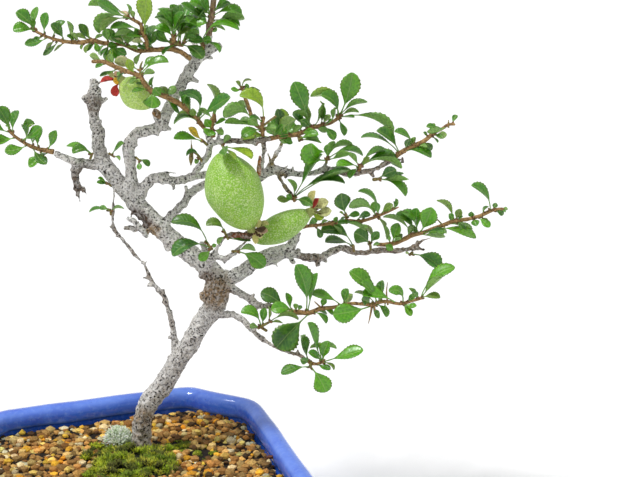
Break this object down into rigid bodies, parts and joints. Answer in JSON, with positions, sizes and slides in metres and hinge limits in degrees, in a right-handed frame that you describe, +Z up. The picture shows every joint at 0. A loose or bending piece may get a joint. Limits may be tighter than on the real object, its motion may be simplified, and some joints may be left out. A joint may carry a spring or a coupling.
{
  "type": "bonsai tree in a pot",
  "caption": "Flowering quince bonsai: twisted grey trunk, thin leafy shoots and green fruits, growing in a square blue glazed pot with cut corners; stands on its four feet",
  "frame": {"origin": "middle of the bounding box in plan, on the surface the pot's feet stand on", "axes": "+Z up; X runs along the pot's front side, with the crown reaching out to +X; the front is towards -Y"},
  "size_m": [0.2704, 0.16, 0.2962],
  "materials": {
    "bark": "rough grey bark with lenticels",
    "leaf": "glossy green above, paler and matt below",
    "fruit": "waxy green skin with pale flecks",
    "glaze": "glossy blue glaze",
    "soil_grain": "matt clay grains",
    "moss": "soft matt cushion",
    "lichen": "pale matt tuft",
    "mesh_plastic": "moulded black mesh",
    "wire_metal": "drawn, brown anodised"
  },
  "bodies": {
    "root": {"wood": "bark", "fruit_large": "fruit", "fruit_small": "fruit", "fruit_left": "fruit", "leafy_shoot_top_left": "leaf", "leaf_cluster_top": "leaf", "leaf_cluster_leader": "leaf", "leafy_shoot_leader": "leaf", "leafy_shoot_above_fruit": "leaf", "leaf_cluster_spur": "leaf", "leaf_cluster_yellow": "leaf", "leaf_cluster_over_fruit": "leaf", "leaf_cluster_dry_bud": "leaf", "leafy_shoot_middle": "leaf", "leafy_shoot_upright": "leaf", "leaf_cluster_behind_fruit": "leaf", "leaf_cluster_left_spur": "leaf", "leaf_cluster_stalk": "leaf", "leaf_on_stalk": "leaf", "leaf_cluster_above_small_fruit": "leaf", "leaf_cluster_big_leaf": "leaf", "leaf_cluster_right_spur": "leaf", "leafy_shoot_right_upper": "leaf", "leaf_cluster_right_below": "leaf", "leafy_shoot_behind_small_fruit": "leaf", "leaf_cluster_dark": "leaf", "leaf_cluster_dark_inner": "leaf", "leafy_shoot_far_right": "leaf", "leaf_cluster_hanging": "leaf", "leafy_shoot_lower_right": "leaf", "leaf_cluster_low_spur": "leaf", "leafy_shoot_lowest": "leaf", "leafy_shoot_left": "leaf", "leaf_cluster_left": "leaf", "leaf_cluster_limb_low": "leaf", "leaf_cluster_limb_fork": "leaf", "leaf_cluster_inner": "leaf", "leaf_cluster_sucker": "leaf", "leaf_cluster_back_top": "leaf", "leaf_cluster_back_right": "leaf", "pot": "glaze", "drain_mesh_1": "mesh_plastic", "drain_wire_1": "wire_metal", "drain_mesh_2": "mesh_plastic", "drain_wire_2": "wire_metal", "soil": "soil_grain", "moss_mound": "moss", "moss_patch_right": "moss", "moss_patch_far_right": "moss", "lichen_tuft": "lichen"}
  },
  "joints": []
}
